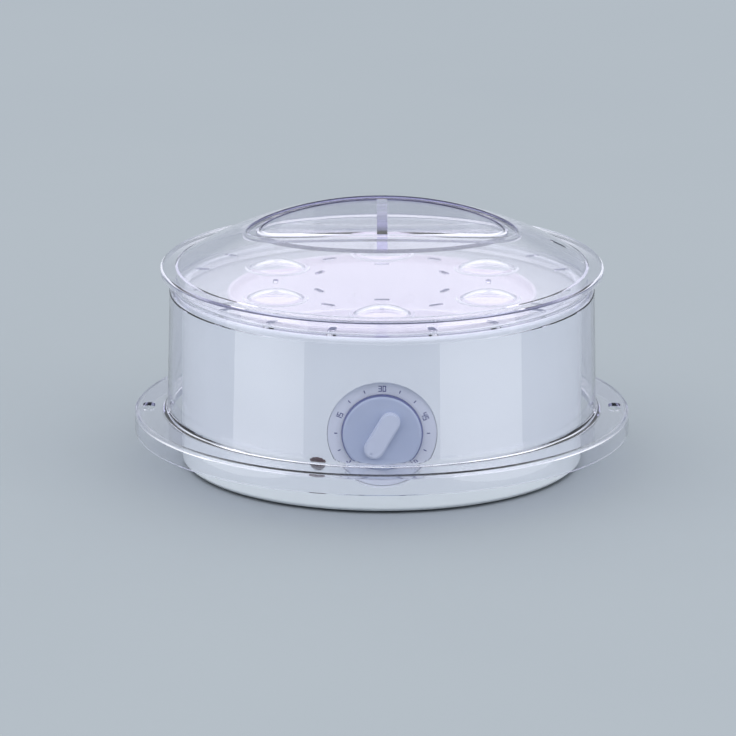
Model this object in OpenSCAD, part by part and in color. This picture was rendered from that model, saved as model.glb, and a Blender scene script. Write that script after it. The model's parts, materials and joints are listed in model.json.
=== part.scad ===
// Countertop food steamer in its stacked storage position.
// Origin: centre of the underside, on the surface it stands on. Front is -Y, up is +Z.

/* [Base] */
// Radius of the white drum
drum_r = 117; // [110:0.5:120]
// Height of the drum's top rim above the table
drum_top_z = 104.4; // [95:0.1:110]
// Thickness of the moulded shell
shell_t = 2.5; // [1.5:0.1:4]
// Gap between the table and the underside of the drum
ground_gap = 1.7; // [1:0.1:4]
// Radius of the wide water basin
basin_r = 112; // [100:0.5:113]
// Radius of the sump round the heater
sump_r = 69; // [50:0.5:70]
// Height of the sump's floor
sump_floor_z = 45; // [35:0.5:60]
// Height of the shelf between the basin and the sump
shelf_z = 82; // [70:0.5:95]

/* [Dial] */
// Height of the dial's centre
dial_z = 47.2; // [40:0.5:55]
// Radius of the flat dial plate
dial_plate_r = 31; // [28:0.5:32]
// Distance of the dial plate's face from the drum's axis
dial_face = 112.5; // [111.5:0.1:113]
// Radius of the ring of ticks and numbers
mark_ring_r = 26.3; // [25:0.1:28]
// Radius of the knob
knob_r = 23.2; // [20:0.1:24]
// Resting angle of the grip bar, clockwise from upright
grip_rest_angle = 30; // [0:1:60]

/* [Pilot lamp] */
// Angle of the lamp round the drum, towards -X
neon_angle = 18.3; // [10:0.1:30]
// Height of the lamp
neon_z = 27.8; // [20:0.1:40]
// Radius of the lens
neon_r = 5; // [3:0.1:7]

/* [Bowl] */
// Outer radius of the wall beside the flange
bowl_r = 125.6; // [124:0.1:130]
// Outer radius of the wall beside the floor
bowl_floor_end_r = 124.1; // [122:0.1:126]
// Wall thickness of the clear parts
clear_t = 2; // [1.5:0.1:3]
// Height of the stored bowl's upturned floor
bowl_floor_z = 106.8; // [102:0.1:112]
// Outer radius of the flange
flange_r = 144.8; // [140:0.1:150]
// Height of the flange's upper face
flange_z = 31.3; // [25:0.1:40]
// Depth of the flange's skirt
flange_skirt_h = 12; // [6:0.5:15]
// Number of egg-cup bumps
egg_cups = 6; // [0:1:8]
// Radius of the ring of egg-cup bumps
egg_ring_r = 71; // [60:0.5:80]

/* [Lid] */
// Outer radius of the lid's flange
lid_r = 129.2; // [126:0.1:135]
// Height of the lid flange's upper face
lid_z = 117.4; // [113:0.1:122]
// Radius where the dome meets the flange
dome_base_r = 120.5; // [115:0.1:125]
// Radius of the dome's sphere
dome_sphere_r = 227; // [200:1:260]
// Height of the top of the dome
dome_top_z = 151.8; // [145:0.1:165]
// Half length of the shallow finger ledge
ledge_half_x = 79; // [60:0.5:82]
// Half width of the shallow finger ledge
ledge_half_y = 48; // [40:0.5:52]
// Half length of the deep finger pocket
pocket_half_x = 71; // [45:0.5:76]
// Half width of the deep finger pocket
pocket_half_y = 39; // [30:0.5:45]
// Height of the finger pocket's floor
pocket_floor_z = 135.6; // [132:0.1:145]
// Thickness of the fin across the pocket
fin_t = 6; // [4:0.5:8]

/* [Hidden] */
$fn = 96;
eps = 0.01;

// Screws and bosses
boss_ring_r = 100;
boss_r = 4;
screw_r = 1.35;
screw_hole_r = 1.4;
screw_clear_r = 1.6;
screw_head_r = 3;
cover_screw_end_z = 14;
cover_t = 2.5;
cover_top_z = ground_gap + cover_t;
feet_ring_r = 98;
foot_r = 8;
foot_stem_r = 3;
floor_vent = [3, 46];
floor_vent_pitch = 9;
gland_z = 20;
gland_r = 6;
cord_hole_r = 3.4;

// Dial stack, measured outwards from the drum's axis
plate_t = 1.5;
recess_floor = dial_face - plate_t;
recess_r = dial_plate_r + 0.3;
dial_boss_r = 33;
shaft_r = 3;
running_gap = 0.05;
shaft_hole_r = 4.5;

// Marks on the dial, 0 to 60 clockwise from the lower left
numbers = [["0"], ["1", "5"], ["3", "0"], ["4", "5"], ["6", "0"]];
number_step = 67.5;
first_angle = -135;
mark_t = 0.12;
tick = [0.5, 1.8];
digit_size = [1.5, 3];
bar_w = 0.42;
// Bars of each digit, named by their place in a figure of eight
digit_bars = [
    ["0", ["top", "left_up", "left_low", "bottom", "right_low", "right_up"]],
    ["1", ["right_up", "right_low"]],
    ["3", ["top", "right_up", "middle", "right_low", "bottom"]],
    ["4", ["left_up", "middle", "right_up", "right_low"]],
    ["5", ["top", "left_up", "middle", "right_low", "bottom"]],
    ["6", ["top", "left_up", "left_low", "middle", "right_low", "bottom"]]];

// Knob stack, measured outwards from the drum's axis
knob_back = dial_face + 0.4;
knob_skirt_front = knob_back + 3.2;
knob_front = 119.4;
knob_edge_r = 2.2;
knob_socket_depth = 4.2;
grip_half_w = 5.8;
grip_reach = 9;
grip_edge = 1;
pointer_r = 0.8;

// Wind-up movement, measured outwards from the drum's axis
movement_front = recess_floor - shell_t - 0.1;
movement_plate_t = 1;
case_back = 83.5;
case_half = 23;
case_t = 1;
case_floor_t = 1.5;
movement_screw_x = 19;
pivot_r = 2;
pivot_depth = 0.9;
wheel_module = 0.6;
main_teeth = 48;
pinion_teeth = 12;
wheel_distance = wheel_module * (main_teeth + pinion_teeth) / 2;
wheel_t = 2;
wheel_back = movement_front - 9;
second_wheel_angle = 225;
second_wheel_r = 8.6;
arbor_r = 1;
cam_r = 11;
cam_back = movement_front - 5.4;
cam_t = 3;
spring_turns = 6;
spring_pitch = 1.5;
spring_t = 0.4;
spring_z = [88, 94];
bell_r = 16;
bell_t = 0.8;
bell_gap = 6;
bell_post_r = 2.5;

// Pilot lamp, measured outwards from the drum's axis
lens_stem_r = neon_r - 1;
lens_ball_r = 7;
lamp_r = 2.2;
lamp_leg_r = 0.3;

// Heater
heater_r = 26;
heater_hole_r = 27.2;
heater_flange_r = 33;
heater_flange_z = 38;
heater_flange_t = 2;
heater_top_z = 58;
clamp_t = 1.5;
clamp_screw_ring_r = 41;
element_pin_x = 18;
pin_r = 2.6;
pin_h = 7;
tab_h = 7;
cutout_r = 8;
fuse_y = 15.5;
fuse_z = 33;
terminal_block_y = 84;
terminal_block_size = [34, 12, 11];
terminal_pitch = 10;
wire_r = 1.1;

// Loose pieces
ring_mid_r = 37;
ring_half_t = 1;
ring_top_z = 76;
ring_lip = 4;
ring_port = [7, 11];
tray_r = 90;
tray_rim_z = 99.8;
tray_floor_z = 95;
tray_t = 1.8;
tray_step = 1.5;
tray_leg_ring_r = 79;
tray_leg_r = 2.5;

// Clear parts and their openings
bowl_floor_r = bowl_floor_end_r - 2.4;
bowl_corner_z = bowl_floor_z - 4.6;
flange_fillet = 3.4;
egg_cup_r = 15;
egg_cup_rise = 4;
steam_slot = [3, 9];
outer_slot = [4.4, 9];
outer_slot_ring_r = 109;
hand_slot = [7, 16];
hand_slot_r = 136.5;
skirt_in_r = 118.3;
ledge_drop = 1.5;
vent_slot = [2.6, 9];
vent_ring_r = 103.5;
vent_angle = 7;

function arc(cx, cy, r, a0, a1, steps) =
    [for (i = [0 : steps]) let (a = a0 + (a1 - a0) * i / steps) [cx + r * cos(a), cy + r * sin(a)]];

// Places children on the dial's axis, with their Z pointing forwards from the drum's axis
module on_dial() {
    translate([0, 0, dial_z]) rotate([90, 0, 0]) children();
}

// Places children on the lamp's axis in the same way
module on_lamp() {
    rotate([0, 0, -neon_angle]) translate([0, 0, neon_z]) rotate([90, 0, 0]) children();
}

// Places copies of children in a ring about Z
module ring(count, r, start = 0) {
    for (i = [0 : count - 1]) rotate([0, 0, start + i * 360 / count]) translate([r, 0, 0]) children();
}

// Cylinder between two heights
module rod(r, z0, z1) {
    translate([0, 0, z0]) cylinder(r = r, h = z1 - z0);
}

// Tube between two heights
module tube(r_out, r_in, z0, z1) {
    difference() {
        rod(r_out, z0, z1);
        rod(r_in, z0 - 1, z1 + 1);
    }
}

// Slot with round ends, its length along Y, between two heights
module slot(size, z0, z1) {
    reach = size[1] / 2 - size[0] / 2;
    translate([0, -reach, 0]) rod(size[0] / 2, z0, z1);
    translate([0, reach, 0]) rod(size[0] / 2, z0, z1);
    translate([-size[0] / 2, -reach, z0]) cube([size[0], 2 * reach, z1 - z0]);
}

// Box centred on Z, between two heights
module block(size, z0, z1) {
    translate([-size[0] / 2, -size[1] / 2, z0]) cube([size[0], size[1], z1 - z0]);
}

// ---------------------------------------------------------------- base

module housing_profile() {
    inner_r = drum_r - shell_t;
    under_sump = sump_floor_z - shell_t;
    polygon(concat(
        [[inner_r, ground_gap], [drum_r - 1.6, ground_gap]],
        arc(drum_r - 2, ground_gap + 2.4, 2, -60, 0, 5),
        arc(drum_r - 2.4, drum_top_z - 2.4, 2.4, 0, 90, 8),
        arc(basin_r + 1, drum_top_z - 1, 1, 90, 180, 4),
        [[basin_r, shelf_z + 3]],
        arc(basin_r - 3, shelf_z + 3, 3, 0, -90, 5),
        arc(sump_r + 2, shelf_z - 2, 2, 90, 180, 5),
        arc(sump_r - 3, sump_floor_z + 3, 3, 0, -90, 5),
        [[heater_hole_r, sump_floor_z], [heater_hole_r, under_sump], [sump_r + shell_t, under_sump],
         [sump_r + shell_t, shelf_z - shell_t], [inner_r, shelf_z - shell_t]]));
}

module base_housing() {
    color("white") difference() {
        union() {
            rotate_extrude($fn = 180) housing_profile();
            ring(4, boss_ring_r, 45) rod(boss_r, cover_top_z, shelf_z - shell_t + 0.5);
            ring(3, clamp_screw_ring_r, 90) rod(boss_r, heater_flange_z, sump_floor_z - shell_t + 0.5);
            intersection() {
                on_dial() rod(dial_boss_r, recess_floor - shell_t, drum_r);
                rod(drum_r - 1, ground_gap, drum_top_z);
            }
        }
        on_dial() rod(recess_r, recess_floor, drum_r + 1);
        on_dial() rod(shaft_hole_r, recess_floor - 20, drum_r);
        on_dial() for (s = [-1, 1]) translate([s * movement_screw_x, 0, 0]) {
            rod(screw_clear_r, recess_floor - 4, recess_floor + 1);
            rod(screw_head_r + 0.1, recess_floor - 1.4, recess_floor + 1);
        }
        on_lamp() rod(neon_r - 0.9, drum_r - 8, drum_r + 2);
        ring(4, boss_ring_r, 45) rod(screw_hole_r, cover_top_z - 1, 16);
        ring(3, clamp_screw_ring_r, 90) rod(screw_hole_r, heater_flange_z - 1, sump_floor_z - 1);
        translate([0, 0, gland_z]) rotate([-90, 0, 0]) rod(gland_r, drum_r - 8, drum_r + 5);
    }
}

module bottom_cover() {
    color("whitesmoke") difference() {
        rod(drum_r - shell_t - 0.3, ground_gap, cover_top_z);
        ring(4, boss_ring_r, 45) {
            rod(screw_clear_r, 0, 10);
            rod(screw_head_r + 0.3, 0, ground_gap + 1.2);
        }
        ring(4, feet_ring_r, 0) rod(foot_stem_r, 0, 10);
        for (i = [-3 : 3]) translate([i * floor_vent_pitch, 0, 0]) slot(floor_vent, 0, 10);
    }
}

module cover_screws() {
    color("silver") ring(4, boss_ring_r, 45) difference() {
        union() {
            rod(screw_r, ground_gap + 1, cover_screw_end_z);
            rod(screw_head_r, ground_gap - 0.7, ground_gap + 1.2);
        }
        for (a = [0, 90]) rotate([0, 0, a]) block([3.6, 0.8], 0, ground_gap);
    }
}

module rubber_feet() {
    color("dimgray") ring(4, feet_ring_r, 0) {
        rod(foot_r, 0, ground_gap);
        rod(foot_stem_r, ground_gap - eps, cover_top_z + eps);
        rod(foot_stem_r + 1, cover_top_z, cover_top_z + 1.3);
    }
}

module cord_gland() {
    color("dimgray") translate([0, 0, gland_z]) rotate([-90, 0, 0]) difference() {
        union() {
            rod(gland_r, drum_r - shell_t - 1, drum_r + 0.3);
            rod(gland_r + 2, drum_r, drum_r + 2);
            rod(gland_r + 1.5, drum_r - shell_t - 3, drum_r - shell_t - 0.5);
        }
        rod(cord_hole_r, drum_r - 10, drum_r + 10);
    }
}

// ---------------------------------------------------------------- dial and knob

module dial_plate() {
    color("lavender") on_dial() difference() {
        rod(dial_plate_r, recess_floor, dial_face);
        rod(shaft_hole_r, recess_floor - 1, dial_face + 1);
    }
}

module digit_bar(place) {
    w = digit_size[0];
    h = digit_size[1];
    flat_y = place == "top" ? h / 2 : place == "bottom" ? -h / 2 : 0;
    side = place == "left_up" || place == "left_low" ? -1 : 1;
    up = place == "left_up" || place == "right_up" ? 1 : -1;
    if (place == "top" || place == "bottom" || place == "middle")
        translate([-w / 2 - bar_w / 2, flat_y - bar_w / 2]) square([w + bar_w, bar_w]);
    else
        translate([side * w / 2 - bar_w / 2, up > 0 ? -bar_w / 2 : -h / 2 - bar_w / 2])
            square([bar_w, h / 2 + bar_w]);
}

module digit(d) {
    for (entry = digit_bars) if (entry[0] == d) for (place = entry[1]) digit_bar(place);
}

module number(digits) {
    pitch = digit_size[0] + bar_w + 0.5;
    for (i = [0 : len(digits) - 1])
        translate([(i - (len(digits) - 1) / 2) * pitch, 0]) digit(digits[i]);
}

module dial_marks() {
    color("navy") on_dial() translate([0, 0, dial_face]) linear_extrude(mark_t) {
        for (i = [0 : 4]) rotate(-(first_angle + i * number_step)) translate([0, mark_ring_r])
            number(numbers[i]);
        for (i = [0 : 3], j = [1, 2]) rotate(-(first_angle + (i + j / 3) * number_step))
            translate([-tick[0] / 2, mark_ring_r - tick[1] / 2]) square(tick);
    }
}

module timer_knob() {
    grip_end = grip_reach + grip_half_w;
    color("lightsteelblue") on_dial() rotate([0, 0, -grip_rest_angle]) difference() {
        union() {
            rotate_extrude() polygon(concat(
                [[0, knob_back], [knob_r, knob_back], [knob_r, knob_back + 1]],
                arc(knob_r - knob_edge_r, knob_skirt_front - knob_edge_r, knob_edge_r, 0, 90, 6),
                [[0, knob_skirt_front - 1.2]]));
            slot([2 * grip_half_w, 2 * grip_end], knob_back + 1, knob_front - grip_edge);
            slot([2 * (grip_half_w - grip_edge), 2 * (grip_end - grip_edge)],
                knob_front - grip_edge - eps, knob_front);
        }
        rod(shaft_r + running_gap, knob_back - 1, knob_back + knob_socket_depth);
        translate([0, grip_edge + 2 * pointer_r - grip_end, 0])
            rod(pointer_r, knob_front - 0.5, knob_front + 1);
    }
}

// ---------------------------------------------------------------- wind-up movement

module timer_screws() {
    color("silver") on_dial() for (s = [-1, 1]) translate([s * movement_screw_x, 0, 0]) difference() {
        union() {
            rod(screw_r, movement_front - 4, recess_floor - 0.2);
            rod(screw_head_r, recess_floor - 1.3, recess_floor - 0.1);
        }
        block([0.8, 4], recess_floor - 0.7, recess_floor);
    }
}

module second_axis() {
    rotate([0, 0, second_wheel_angle]) translate([wheel_distance, 0, 0]) children();
}

module timer_front_plate() {
    color("silver") on_dial() difference() {
        block([2 * case_half, 2 * case_half], movement_front - movement_plate_t, movement_front);
        rod(shaft_r + running_gap, 0, drum_r);
        for (s = [-1, 1]) translate([s * movement_screw_x, 0, 0]) rod(screw_r + running_gap, 0, drum_r);
        second_axis() rod(arbor_r + running_gap, 0, drum_r);
    }
}

module timer_case() {
    front = movement_front - movement_plate_t;
    color("darkgray") on_dial() {
        difference() {
            block([2 * case_half, 2 * case_half], case_back, front);
            block([2 * (case_half - case_t), 2 * (case_half - case_t)], case_back + case_floor_t, front + 1);
            rod(pivot_r + running_gap, case_back + case_floor_t - pivot_depth, front);
            second_axis() rod(arbor_r + running_gap, case_back + case_floor_t - pivot_depth, front);
        }
        rod(bell_post_r, case_back - bell_gap - 0.2, case_back + 0.1);
    }
}

module timer_shaft() {
    color("gray") on_dial() {
        rod(pivot_r, case_back + case_floor_t - pivot_depth + 0.1, case_back + case_floor_t + 0.3);
        rod(shaft_r, case_back + case_floor_t + 0.2, knob_back + knob_socket_depth - 0.2);
    }
}

module timer_cam() {
    color("ivory") on_dial() difference() {
        rod(cam_r, cam_back, cam_back + cam_t);
        rod(shaft_r, 0, drum_r);
        rotate([0, 0, 100]) translate([cam_r, 0, 0]) rod(1.6, 0, drum_r);
    }
}

// Flat wheel with trapezoid teeth, its first tooth on +X
module toothed(teeth, addendum, dedendum) {
    pitch_r = wheel_module * teeth / 2;
    step = 360 / teeth;
    root_r = pitch_r - dedendum;
    tip_r = pitch_r + addendum;
    polygon([for (i = [0 : teeth - 1], k = [0 : 3])
        let (a = i * step + (k == 0 ? -0.30 : k == 1 ? -0.12 : k == 2 ? 0.12 : 0.30) * step,
             r = k == 0 || k == 3 ? root_r : tip_r)
        [r * cos(a), r * sin(a)]]);
}

module timer_main_wheel() {
    color("goldenrod") on_dial() difference() {
        rotate([0, 0, second_wheel_angle]) translate([0, 0, wheel_back])
            linear_extrude(wheel_t) toothed(main_teeth, 0.45, 0.7);
        rod(shaft_r, 0, drum_r);
    }
}

module timer_second_wheel() {
    color("goldenrod") on_dial() second_axis() {
        rod(arbor_r, case_back + case_floor_t - pivot_depth + 0.1, movement_front - 0.2);
        rotate([0, 0, 180 + 180 / pinion_teeth]) translate([0, 0, wheel_back - 0.4])
            linear_extrude(wheel_t + 0.8) toothed(pinion_teeth, 0.45, 0.7);
        rod(second_wheel_r, wheel_back - 2.4, wheel_back - 1.2);
    }
}

// Flat spiral of half turns about two centres
module timer_mainspring() {
    color("slategray") on_dial() for (i = [0 : 2 * spring_turns - 1]) {
        shift = i % 2 == 0 ? 0 : spring_pitch / 4;
        r = shaft_r + 1 + i * spring_pitch / 2;
        translate([shift, 0, spring_z[0]]) rotate([0, 0, i % 2 == 0 ? 0 : 180]) intersection() {
            tube(r + spring_t, r, 0, spring_z[1] - spring_z[0]);
            translate([-30, -eps, 0]) cube([60, 30, spring_z[1] - spring_z[0]]);
        }
    }
}

module timer_switch() {
    color("saddlebrown") on_dial() translate([0, 0, movement_front - 6.5]) {
        translate([12.5, 11.2, 0]) cube([8, 9, 5]);
        translate([-6, 11.6, 1.4]) cube([19, 0.4, 2.2]);
        translate([-6, 14.2, 1.4]) cube([19, 0.4, 2.2]);
        translate([-4.5, 12, 2.5]) rotate([-90, 0, 0]) rod(0.9, -0.1, 0.8);
        translate([-4.5, 14.3, 2.5]) rotate([90, 0, 0]) rod(0.9, 0, 0.8);
    }
}

module timer_bell() {
    back = case_back - bell_gap;
    color("gold") on_dial() rotate_extrude() polygon(concat(
        [[bell_post_r + 0.1, back]],
        arc(bell_r - 4, back + 4, 4, -90, 0, 8),
        [[bell_r - bell_t, back + 4]],
        arc(bell_r - 4, back + 4, 4 - bell_t, 0, -90, 8),
        [[bell_post_r + 0.1, back + bell_t]]));
}

// ---------------------------------------------------------------- pilot lamp

module neon_lens() {
    color("darkred") on_lamp() difference() {
        union() {
            rod(lens_stem_r, drum_r - 6, drum_r + 0.3);
            intersection() {
                rod(neon_r, drum_r + 0.1, drum_r + 3);
                translate([0, 0, drum_r - 5]) sphere(r = lens_ball_r);
            }
        }
        rod(lens_stem_r - 1, drum_r - 7, drum_r + 0.2);
    }
}

module neon_lamp() {
    color("orange") on_lamp() {
        rod(lamp_r, drum_r - 12, drum_r - 1.2);
        for (s = [-1, 1]) translate([s * lamp_r / 2, 0, 0]) rod(lamp_leg_r, drum_r - 17, drum_r - 11.9);
    }
}

// ---------------------------------------------------------------- heater and wiring

module heater_plate() {
    color("gainsboro") {
        rotate_extrude() polygon(concat(
            [[0, heater_flange_z], [heater_flange_r, heater_flange_z],
             [heater_flange_r, heater_flange_z + heater_flange_t],
             [heater_r, heater_flange_z + heater_flange_t]],
            arc(heater_r - 3, heater_top_z - 3, 3, 0, 90, 6),
            [[10, heater_top_z], [8, heater_top_z - 1.5], [0, heater_top_z - 1.5]]));
    }
}

module heater_seal() {
    z0 = heater_flange_z + heater_flange_t;
    color("orangered") {
        tube(heater_flange_r, heater_r, z0, sump_floor_z - shell_t);
        tube(heater_hole_r, heater_r, z0 + eps, sump_floor_z + 0.8);
    }
}

module heater_clamp() {
    color("silver") difference() {
        tube(clamp_screw_ring_r + 5, heater_r - 3, heater_flange_z - clamp_t, heater_flange_z);
        ring(3, clamp_screw_ring_r, 90) rod(screw_clear_r, 0, heater_flange_z + 1);
    }
}

module heater_screws() {
    color("silver") ring(3, clamp_screw_ring_r, 90) {
        rod(screw_r, heater_flange_z - clamp_t - 0.1, sump_floor_z - 2);
        rod(screw_head_r, heater_flange_z - clamp_t - 1.8, heater_flange_z - clamp_t);
    }
}

module heater_terminals() {
    pin_end = heater_flange_z - pin_h;
    color("snow") for (s = [-1, 1]) translate([s * element_pin_x, 0, 0]) {
        rod(pin_r, pin_end, heater_flange_z);
        block([0.8, 5], pin_end - tab_h, pin_end + 0.1);
    }
}

module thermostat() {
    cutout_end = heater_flange_z - pin_h;
    color("black") {
        rod(cutout_r, cutout_end, heater_flange_z);
        for (s = [-1, 1]) translate([0, s * 5, 0]) block([4, 0.8], cutout_end - 5, cutout_end + 0.1);
    }
}

module thermal_fuse() {
    color("khaki") translate([0, fuse_y, fuse_z]) rotate([0, 90, 0]) {
        rod(2, -6, 6);
        rod(0.5, -12, -5.9);
        rod(0.5, 5.9, 12);
    }
}

module terminal_block() {
    h = terminal_block_size[2];
    color("ivory") translate([0, terminal_block_y, cover_top_z]) difference() {
        block(terminal_block_size, 0, h);
        for (i = [-1 : 1]) translate([i * terminal_pitch, 0, 0]) {
            rod(1.8, h / 2, h + 1);
            translate([0, 0, 4]) rotate([90, 0, 0]) rod(1.6, -7, 7);
        }
    }
}

// Eight-sided wire through a list of points, its straight runs lapped at each bend
module wire(points) {
    for (i = [0 : len(points) - 2]) {
        run = points[i + 1] - points[i];
        lap_back = i == 0 ? 0 : wire_r / 2;
        lap_front = i == len(points) - 2 ? 0 : wire_r / 2;
        translate(points[i]) rotate([0, acos(run[2] / norm(run)), atan2(run[1], run[0])])
            translate([0, 0, -lap_back]) cylinder(r = wire_r, h = norm(run) + lap_back + lap_front, $fn = 8);
    }
}

module wiring_loom() {
    pin_z = heater_flange_z - pin_h - tab_h - wire_r;
    block_front = terminal_block_y - 6 - wire_r;
    block_z = cover_top_z + 4;
    color("red") {
        wire([[-10, block_front, block_z], [-10, 66, block_z], [-30, 50, 10], [-30, 20, 10],
              [-element_pin_x, 0, pin_z - 6], [-element_pin_x, 0, pin_z]]);
        wire([[10, block_front, block_z], [10, 66, block_z], [34, 50, 10], [34, 10, 10],
              [40, -40, 12], [34, -74, 24], [26, -84, 40], [26, -90, 60]]);
        wire([[element_pin_x, 0, pin_z], [element_pin_x, 0, pin_z - 6], [22, -30, 12], [0, -60, 12],
              [-20, -80, 16], [-28, -92, 23]]);
    }
}

// ---------------------------------------------------------------- loose pieces

module steam_ring() {
    color("white") difference() {
        union() {
            tube(ring_mid_r + ring_half_t, ring_mid_r - ring_half_t, sump_floor_z, ring_top_z);
            tube(ring_mid_r + ring_lip, ring_mid_r - ring_half_t, ring_top_z - 2, ring_top_z);
        }
        for (a = [0 : 60 : 120]) rotate([0, 0, a]) translate([0, 0, sump_floor_z])
            rotate([90, 0, 0]) slot(ring_port, -60, 60);
    }
}

module drip_tray() {
    color("white") {
        rotate_extrude($fn = 180) polygon(concat(
            [[0, tray_floor_z - tray_t + tray_step], [16, tray_floor_z - tray_t + tray_step],
             [20, tray_floor_z - tray_t], [tray_r - 4, tray_floor_z - tray_t]],
            arc(tray_r - 3, tray_floor_z - tray_t + 3, 3, -90, 0, 5),
            [[tray_r, tray_rim_z - 0.6], [tray_r - 0.6, tray_rim_z], [tray_r - 1.4, tray_rim_z],
             [tray_r - 2, tray_rim_z - 0.6]],
            arc(tray_r - 4, tray_floor_z + 2, 2, 0, -90, 5),
            [[20, tray_floor_z], [16, tray_floor_z + tray_step], [0, tray_floor_z + tray_step]]));
        ring(6, tray_leg_ring_r, 30) rod(tray_leg_r, shelf_z, tray_floor_z - 1);
    }
}

module bowl_profile() {
    skirt_z = flange_z - flange_skirt_h;
    polygon(concat(
        [[0, bowl_floor_z - clear_t], [bowl_floor_r - 3, bowl_floor_z - clear_t],
         [bowl_floor_end_r - clear_t, bowl_corner_z - 0.8], [bowl_r - clear_t, flange_z - clear_t],
         [bowl_r, flange_z - clear_t], [flange_r - clear_t - 1, flange_z - clear_t],
         [flange_r - clear_t, flange_z - clear_t - 1], [flange_r - clear_t, skirt_z],
         [flange_r, skirt_z], [flange_r, flange_z - 2]],
        arc(flange_r - 2, flange_z - 2, 2, 0, 90, 5),
        arc(bowl_r + flange_fillet, flange_z + flange_fillet, flange_fillet, -90, -180, 6),
        [[bowl_floor_end_r, bowl_corner_z], [bowl_floor_end_r - 0.5, bowl_corner_z + 0.5],
         [bowl_floor_r, bowl_floor_z - 0.4], [bowl_floor_r - 0.4, bowl_floor_z], [0, bowl_floor_z]]));
}

// Low round bump that lifts the upturned floor, or the hollow under it
module egg_cup(r, rise) {
    ball_r = (r * r + rise * rise) / (2 * rise);
    intersection() {
        translate([0, 0, bowl_floor_z + rise - ball_r]) sphere(r = ball_r);
        rod(r + 4, bowl_floor_z - clear_t - 1, bowl_floor_z + rise + 1);
    }
}

// Straight slot whose length runs outwards
module radial_slot(size, z0, z1) {
    rotate([0, 0, 90]) slot(size, z0, z1);
}

module steaming_bowl() {
    cut_low = bowl_floor_z - 5;
    cut_high = bowl_floor_z + 5;
    color("azure", 0.4) difference() {
        union() {
            rotate_extrude($fn = 180) bowl_profile();
            ring(egg_cups, egg_ring_r, -90) egg_cup(egg_cup_r, egg_cup_rise);
        }
        ring(egg_cups, egg_ring_r, -90) translate([0, 0, -clear_t]) egg_cup(egg_cup_r, egg_cup_rise);
        for (half = [0, 180], side = [-1, 1], a = [15 : 20 : 75]) rotate([0, 0, half + side * a])
            translate([outer_slot_ring_r, 0, 0]) radial_slot(outer_slot, cut_low, cut_high);
        ring(6, 42, 30) slot(steam_slot, cut_low, cut_high);
        ring(6, 62, 0) slot(steam_slot, cut_low, cut_high);
        ring(2, hand_slot_r) slot(hand_slot, flange_z - 5, flange_z + 5);
    }
}

// Ball that the lid's dome is a cap of, drawn in from its face
module dome_ball(inset) {
    translate([0, 0, dome_top_z - dome_sphere_r]) sphere(r = dome_sphere_r - inset, $fn = 200);
}

// Straight-sided oval, between two heights
module oval(half_x, half_y, z0, z1) {
    translate([0, 0, z0]) linear_extrude(z1 - z0) scale([half_x / half_y, 1]) circle(r = half_y, $fn = 120);
}

module lid_flange_profile() {
    under = lid_z - clear_t;
    skirt_bottom_z = bowl_floor_z + 0.1;
    polygon([
        [skirt_in_r - 5, under], [skirt_in_r - 5, lid_z - 0.5], [lid_r - 1, lid_z], [lid_r, lid_z - 1],
        [lid_r, lid_z - 4], [lid_r - 1.6, lid_z - 4], [lid_r - 1.6, under], [skirt_in_r + clear_t, under],
        [skirt_in_r + clear_t, skirt_bottom_z], [skirt_in_r, skirt_bottom_z], [skirt_in_r, under]]);
}

module lid() {
    above = dome_top_z + 5;
    below = lid_z + 5;
    color("azure", 0.4) difference() {
        union() {
            intersection() {
                dome_ball(0);
                rod(dome_base_r, lid_z - 1, above);
            }
            rotate_extrude($fn = 180) lid_flange_profile();
        }
        // hollow under the dome, the ledge and the pocket
        difference() {
            intersection() {
                dome_ball(clear_t);
                rod(skirt_in_r, bowl_floor_z, above);
            }
            difference() {
                oval(ledge_half_x + clear_t, ledge_half_y + clear_t, below, above);
                dome_ball(ledge_drop + clear_t);
            }
            oval(pocket_half_x + clear_t, pocket_half_y + clear_t, pocket_floor_z - clear_t, above);
        }
        // ledge
        difference() {
            oval(ledge_half_x, ledge_half_y, below, above);
            dome_ball(ledge_drop);
        }
        // pocket on both sides of the fin
        difference() {
            oval(pocket_half_x, pocket_half_y, pocket_floor_z, above);
            intersection() {
                block([fin_t, 2 * pocket_half_y + 2], pocket_floor_z - 1, above);
                dome_ball(0.6);
            }
        }
        rotate([0, 0, vent_angle]) translate([vent_ring_r, 0, 0]) radial_slot(vent_slot, lid_z, above);
    }
}

base_housing();
bottom_cover();
cover_screws();
rubber_feet();
dial_plate();
dial_marks();
timer_knob();
timer_screws();
timer_front_plate();
timer_case();
timer_shaft();
timer_cam();
timer_main_wheel();
timer_mainspring();
timer_second_wheel();
timer_switch();
timer_bell();
neon_lens();
neon_lamp();
heater_plate();
heater_seal();
heater_clamp();
heater_screws();
heater_terminals();
thermostat();
thermal_fuse();
terminal_block();
wiring_loom();
cord_gland();
steam_ring();
drip_tray();
steaming_bowl();
lid();
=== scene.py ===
import json
import math

import bpy
import bmesh
from mathutils import Matrix, Vector


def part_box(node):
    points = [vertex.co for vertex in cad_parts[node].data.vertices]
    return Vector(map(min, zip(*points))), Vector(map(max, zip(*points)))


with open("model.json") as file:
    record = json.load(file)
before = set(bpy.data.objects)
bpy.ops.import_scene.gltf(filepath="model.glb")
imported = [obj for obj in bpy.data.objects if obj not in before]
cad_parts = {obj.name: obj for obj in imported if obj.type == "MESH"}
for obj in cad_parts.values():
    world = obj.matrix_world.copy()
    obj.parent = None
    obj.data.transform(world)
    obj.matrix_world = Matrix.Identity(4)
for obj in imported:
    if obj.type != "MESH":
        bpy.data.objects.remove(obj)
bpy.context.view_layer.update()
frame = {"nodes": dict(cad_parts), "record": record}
NODES = frame["nodes"]
scene = bpy.context.scene
scene.view_settings.view_transform = "Standard"


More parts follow.
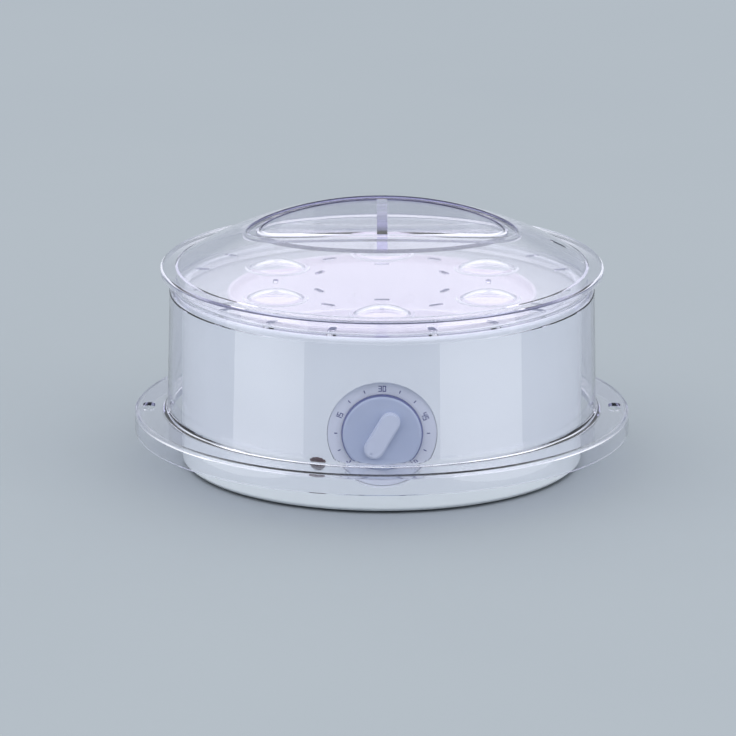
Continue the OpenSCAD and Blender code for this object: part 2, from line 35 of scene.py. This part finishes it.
def linear(rgb):
    """8-bit sRGB to the linear colour that Blender's sockets take."""
    out = []
    for c in rgb:
        c /= 255
        out.append(c / 12.92 if c <= 0.04045 else ((c + 0.055) / 1.055) ** 2.4)
    return (*out, 1)


# ------------------------------------------------------------ materials

class Nodes:
    """A material's node tree with short calls for adding nodes and links."""

    def __init__(self, name):
        self.mat = bpy.data.materials.new(name)
        self.mat.use_nodes = True
        self.tree = self.mat.node_tree
        self.tree.nodes.clear()
        self.out = self.add("ShaderNodeOutputMaterial")
        self.coord = self.add("ShaderNodeTexCoord")

    def add(self, kind, **props):
        n = self.tree.nodes.new(kind)
        for k, v in props.items():
            setattr(n, k, v)
        return n

    def link(self, a, b):
        self.tree.links.new(a, b)

    def noise(self, scale, detail=3.0, rough=0.5, stretch=(1, 1, 1)):
        m = self.add("ShaderNodeMapping")
        m.inputs["Scale"].default_value = stretch
        self.link(self.coord.outputs["Object"], m.inputs["Vector"])
        n = self.add("ShaderNodeTexNoise")
        n.inputs["Scale"].default_value = scale
        n.inputs["Detail"].default_value = detail
        n.inputs["Roughness"].default_value = rough
        self.link(m.outputs[0], n.inputs["Vector"])
        return n.outputs["Fac"]

    def ramp(self, fac, lo, hi, a, b):
        r = self.add("ShaderNodeMapRange")
        r.inputs["From Min"].default_value = lo
        r.inputs["From Max"].default_value = hi
        r.inputs["To Min"].default_value = a
        r.inputs["To Max"].default_value = b
        self.link(fac, r.inputs["Value"])
        return r.outputs[0]

    def mix_colour(self, fac, a, b):
        m = self.add("ShaderNodeMix", data_type="RGBA")
        self.link(fac, m.inputs[0])
        for v, s in ((a, m.inputs[6]), (b, m.inputs[7])):
            if isinstance(v, tuple):
                s.default_value = v
            else:
                self.link(v, s)
        return m.outputs[2]

    def bump(self, height, strength, distance):
        b = self.add("ShaderNodeBump")
        b.inputs["Strength"].default_value = strength
        b.inputs["Distance"].default_value = distance
        self.link(height, b.inputs["Height"])
        return b.outputs[0]


MOTTLING = 25
GRAIN = 900


def plastic(name, colour, colour2=None, rough=(0.2, 0.3), grain=0.0, coat=0.0):
    """Moulded plastic: faint colour mottling, handling smears in the roughness, and a fine moulded grain."""
    n = Nodes(name)
    p = n.add("ShaderNodeBsdfPrincipled")
    base, other = linear(colour), linear(colour2 or [c * 0.965 for c in colour])
    n.link(n.mix_colour(n.ramp(n.noise(MOTTLING, 4), 0.35, 0.65, 0, 1), base, other), p.inputs["Base Color"])
    n.link(n.ramp(n.noise(MOTTLING * 2.4, 5, 0.6), 0.3, 0.7, *rough), p.inputs["Roughness"])
    if grain:
        n.link(n.bump(n.noise(GRAIN, 2), grain, 0.0002), p.inputs["Normal"])
    p.inputs["Coat Weight"].default_value = coat
    p.inputs["Coat Roughness"].default_value = 0.04
    n.link(p.outputs[0], n.out.inputs["Surface"])
    return n.mat


def metal(name, colour, rough=(0.25, 0.4), stretch=(1, 1, 1), scale=300, bump=0.15):
    """Bare metal with brushed or cast streaks and a little tarnish."""
    n = Nodes(name)
    p = n.add("ShaderNodeBsdfPrincipled")
    p.inputs["Metallic"].default_value = 1
    base, other = linear(colour), linear([c * 0.82 for c in colour])
    n.link(n.mix_colour(n.ramp(n.noise(40, 5), 0.35, 0.7, 0, 1), base, other), p.inputs["Base Color"])
    streak = n.noise(scale, 3, 0.6, stretch)
    n.link(n.ramp(streak, 0.3, 0.7, *rough), p.inputs["Roughness"])
    n.link(n.bump(streak, bump, 0.0002), p.inputs["Normal"])
    n.link(p.outputs[0], n.out.inputs["Surface"])
    return n.mat


def knob_plastic():
    """Blue-grey moulded plastic, paler on the grip in front of the knob's face, with painted shade darkening
    it round its rim.
    """
    n = Nodes("knob_plastic")
    p = n.add("ShaderNodeBsdfPrincipled")
    split = n.add("ShaderNodeSeparateXYZ")
    n.link(n.coord.outputs["Object"], split.inputs[0])
    mottled = n.ramp(n.noise(60, 4), 0.35, 0.65, 0, 1)
    face = n.mix_colour(mottled, linear((182, 192, 214)), linear((176, 187, 211)))
    low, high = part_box("timer_knob")
    forward = n.ramp(split.outputs["Y"], low[1] + 0.0030, low[1] + 0.0012, 0, 1)
    grip = n.mix_colour(forward, face, linear((207, 214, 229)))
    flat = n.add("ShaderNodeCombineXYZ")
    n.link(split.outputs["X"], flat.inputs["X"])
    n.link(split.outputs["Z"], flat.inputs["Z"])
    radius = n.add("ShaderNodeVectorMath", operation="DISTANCE")
    n.link(flat.outputs[0], radius.inputs[0])
    radius.inputs[1].default_value = ((low[0] + high[0]) / 2, 0, (low[2] + high[2]) / 2)
    edge = (high[0] - low[0]) / 2
    # painted shade: the colour darkens to deep blue-grey in a ring round the knob's rim, standing in for the
    # shadowed gap between knob and dial
    painted_gap_shade = n.ramp(radius.outputs["Value"], edge - 0.0011, edge - 0.0006, 0, 1)
    n.link(n.mix_colour(painted_gap_shade, grip, linear((84, 92, 140))), p.inputs["Base Color"])
    n.link(n.ramp(n.noise(140, 5, 0.6), 0.3, 0.7, 0.34, 0.46), p.inputs["Roughness"])
    n.link(n.bump(n.noise(GRAIN, 2), 0.1, 0.0002), p.inputs["Normal"])
    n.link(p.outputs[0], n.out.inputs["Surface"])
    return n.mat


DEEPEST_BEND = 5.5


def clear_plastic(name, tint, shade, rough=(0.01, 0.05)):
    """Clear moulded plastic, a little smeared, that bends what is behind it.

    Each surface passes a share, shade, of a lamp's light on to what it covers. A ray that has met more
    than DEEPEST_BEND surfaces goes on straight.
    """
    n = Nodes(name)
    p = n.add("ShaderNodeBsdfPrincipled")
    p.inputs["Base Color"].default_value = tint
    p.inputs["Transmission Weight"].default_value = 1
    p.inputs["IOR"].default_value = 1.49
    n.link(n.ramp(n.noise(60, 5, 0.65), 0.35, 0.75, *rough), p.inputs["Roughness"])
    n.link(n.bump(n.noise(18, 2), 0.05, 0.0005), p.inputs["Normal"])
    through = n.add("ShaderNodeBsdfTransparent")
    through.inputs["Color"].default_value = (shade, shade, shade * 1.02, 1)
    path = n.add("ShaderNodeLightPath")
    mix = n.add("ShaderNodeMixShader")
    lighting = n.add("ShaderNodeMath", operation="MAXIMUM")
    n.link(path.outputs["Is Shadow Ray"], lighting.inputs[0])
    n.link(path.outputs["Is Diffuse Ray"], lighting.inputs[1])
    deep = n.add("ShaderNodeMath", operation="GREATER_THAN")
    deep.inputs[1].default_value = DEEPEST_BEND
    n.link(path.outputs["Ray Depth"], deep.inputs[0])
    straight = n.add("ShaderNodeMath", operation="MAXIMUM")
    n.link(lighting.outputs[0], straight.inputs[0])
    n.link(deep.outputs[0], straight.inputs[1])
    n.link(straight.outputs[0], mix.inputs[0])
    n.link(p.outputs[0], mix.inputs[1])
    n.link(through.outputs[0], mix.inputs[2])
    n.link(mix.outputs[0], n.out.inputs["Surface"])
    body = n.add("ShaderNodeVolumeAbsorption")
    body.inputs["Color"].default_value = (0.45, 0.43, 0.68, 1)
    body.inputs["Density"].default_value = 22
    n.link(body.outputs[0], n.out.inputs["Volume"])
    return n.mat


MATS = {
    "white_shell": plastic("shell_white", (235, 240, 242), (232, 237, 239), rough=(0.22, 0.27), grain=0.01,
                           coat=0.6),
    "white_base": plastic("base_white", (214, 217, 222), rough=(0.45, 0.6), grain=0.3),
    "white_insert": plastic("insert_white", (244, 235, 242), (240, 231, 239), rough=(0.28, 0.4), grain=0.05),
    "screw_steel": metal("screw_steel", (176, 178, 182)),
    "plate_steel": metal("plate_steel", (165, 167, 172), stretch=(1, 14, 1)),
    "shaft_steel": metal("shaft_steel", (130, 132, 138)),
    "foot_rubber": plastic("foot_rubber", (40, 40, 43), rough=(0.6, 0.8), grain=0.4),
    "dial_plastic": plastic("dial_plastic", (225, 229, 240), rough=(0.3, 0.4), grain=0.1),
    "dial_ink": plastic("dial_ink", (22, 28, 120), rough=(0.4, 0.5)),
    "knob_plastic": knob_plastic(),
    "wheel_brass": metal("wheel_brass", (200, 165, 90)),
    "cam_plastic": plastic("cam_plastic", (225, 220, 200), rough=(0.4, 0.5)),
    "switch_plastic": plastic("switch_plastic", (120, 80, 50), rough=(0.5, 0.6)),
    "lens_red": plastic("lens_red", (56, 4, 28), (46, 3, 22), rough=(0.3, 0.4)),
    "lamp_glass": plastic("lamp_glass", (240, 190, 150), rough=(0.1, 0.2)),
    "heater_metal": metal("heater_metal", (188, 190, 194), rough=(0.4, 0.6), bump=0.4),
    "seal_rubber": plastic("seal_rubber", (190, 75, 50), rough=(0.5, 0.7)),
    "terminal_ceramic": plastic("terminal_ceramic", (235, 232, 222), rough=(0.5, 0.7)),
    "cutout_plastic": plastic("cutout_plastic", (28, 28, 30), rough=(0.4, 0.5)),
    "fuse_body": plastic("fuse_body", (205, 200, 160), rough=(0.5, 0.6)),
    "wire_jacket": plastic("wire_jacket", (170, 32, 28), rough=(0.4, 0.6)),
    "clear_bowl": clear_plastic("bowl_clear", (0.985, 0.98, 1.0, 1), shade=0.965),
    "clear_lid": clear_plastic("lid_clear", (0.99, 0.985, 1.0, 1), shade=0.90),
}
slots = {s["node"]: s["material_slot"] for s in frame["record"]["subparts"]}
for name, o in NODES.items():
    for s in o.material_slots:
        s.link = "OBJECT"
        s.material = MATS[slots[name]]

# ------------------------------------------------------------ stage, light and camera

IMAGE_WIDTH = 736
METRES_PER_PIXEL = 0.0005856
DISTANCE = 4.0
ELEVATION_DEG = 15.43
AIM = Vector((-0.0081, 0, 0.0545))
ROLL_DEG = 0.07
DRUM_MIDDLE = (0, 0, 0.06)
CARD_HEIGHT = 0.14
CARD_RADIANCE = 1.8
FLOOR_HALF = 30


def floor():
    bm = bmesh.new()
    bmesh.ops.create_grid(bm, x_segments=8, y_segments=8, size=FLOOR_HALF)
    me = bpy.data.meshes.new("floor")
    bm.to_mesh(me)
    o = bpy.data.objects.new("floor", me)
    scene.collection.objects.link(o)
    n = Nodes("floor_paper")
    p = n.add("ShaderNodeBsdfPrincipled")
    paper = n.mix_colour(n.noise(3, 3), linear((157, 163, 168)), linear((153, 159, 165)))
    n.link(paper, p.inputs["Base Color"])
    p.inputs["Roughness"].default_value = 0.7
    p.inputs["Specular IOR Level"].default_value = 0
    n.link(p.outputs[0], n.out.inputs["Surface"])
    me.materials.append(n.mat)


def panel(name, place, aim, size, radiance, sheen_only=False):
    """A soft box at one place, aimed at another; with sheen_only it shows only in gloss."""
    data = bpy.data.lights.new(name, "AREA")
    data.shape = "RECTANGLE"
    data.size, data.size_y = size
    data.energy = radiance * math.pi * size[0] * size[1]
    o = bpy.data.objects.new(name, data)
    scene.collection.objects.link(o)
    o.location = place
    o.rotation_euler = (Vector(aim) - Vector(place)).to_track_quat("-Z", "Y").to_euler()
    if sheen_only:
        o.visible_camera = o.visible_diffuse = False
        o.visible_transmission = o.visible_volume_scatter = False


def sheen_card(name, start, end):
    """An upright card standing on the floor from start to end, seen only as a bright band in gloss."""
    a, b = Vector((*start, CARD_HEIGHT / 2)), Vector((*end, CARD_HEIGHT / 2))
    middle = (a + b) / 2
    across = b - a
    facing = across.cross(Vector((0, 0, 1)))
    if facing.dot(middle) > 0:
        facing.negate()
    panel(name, middle, middle + facing, (across.length, CARD_HEIGHT), CARD_RADIANCE, sheen_only=True)


floor()
world = bpy.data.worlds.new("studio")
scene.world = world
world.use_nodes = True
tree = world.node_tree
sky = tree.nodes["Background"]
sky.inputs["Strength"].default_value = 1
direction = tree.nodes.new("ShaderNodeTexCoord")
split = tree.nodes.new("ShaderNodeSeparateXYZ")
height = tree.nodes.new("ShaderNodeMapRange")
height.inputs["From Min"].default_value = 0.25
height.inputs["From Max"].default_value = 0.70
blend = tree.nodes.new("ShaderNodeMix")
blend.data_type = "RGBA"
blend.inputs[6].default_value = (0.47, 0.515, 0.58, 1)
blend.inputs[7].default_value = (1.62, 1.66, 1.69, 1)
tree.links.new(direction.outputs["Generated"], split.inputs[0])
tree.links.new(split.outputs["Z"], height.inputs["Value"])
tree.links.new(height.outputs[0], blend.inputs[0])
tree.links.new(blend.outputs[2], sky.inputs["Color"])
panel("left_box", (-2.62, -0.75, 0.75), DRUM_MIDDLE, (2.0, 1.5), 1.0)
panel("right_box", (2.38, -1.37, 0.75), DRUM_MIDDLE, (2.0, 1.5), 1.0)
sheen_card("left_card", (-0.120, -0.200), (-0.198, -0.099))
sheen_card("right_card", (0.091, -0.217), (0.192, -0.115))

cam_data = bpy.data.cameras.new("camera")
cam = bpy.data.objects.new("camera", cam_data)
scene.collection.objects.link(cam)
scene.camera = cam
e = math.radians(ELEVATION_DEG)
back = Vector((0, -math.cos(e), math.sin(e)))
cam.location = AIM + back * DISTANCE
cam.rotation_mode = "QUATERNION"
spin = Matrix.Rotation(math.radians(ROLL_DEG), 4, "Z").to_quaternion()
cam.rotation_quaternion = (-back).to_track_quat("-Z", "Y") @ spin
cam_data.lens = cam_data.sensor_width * DISTANCE / (IMAGE_WIDTH * METRES_PER_PIXEL)
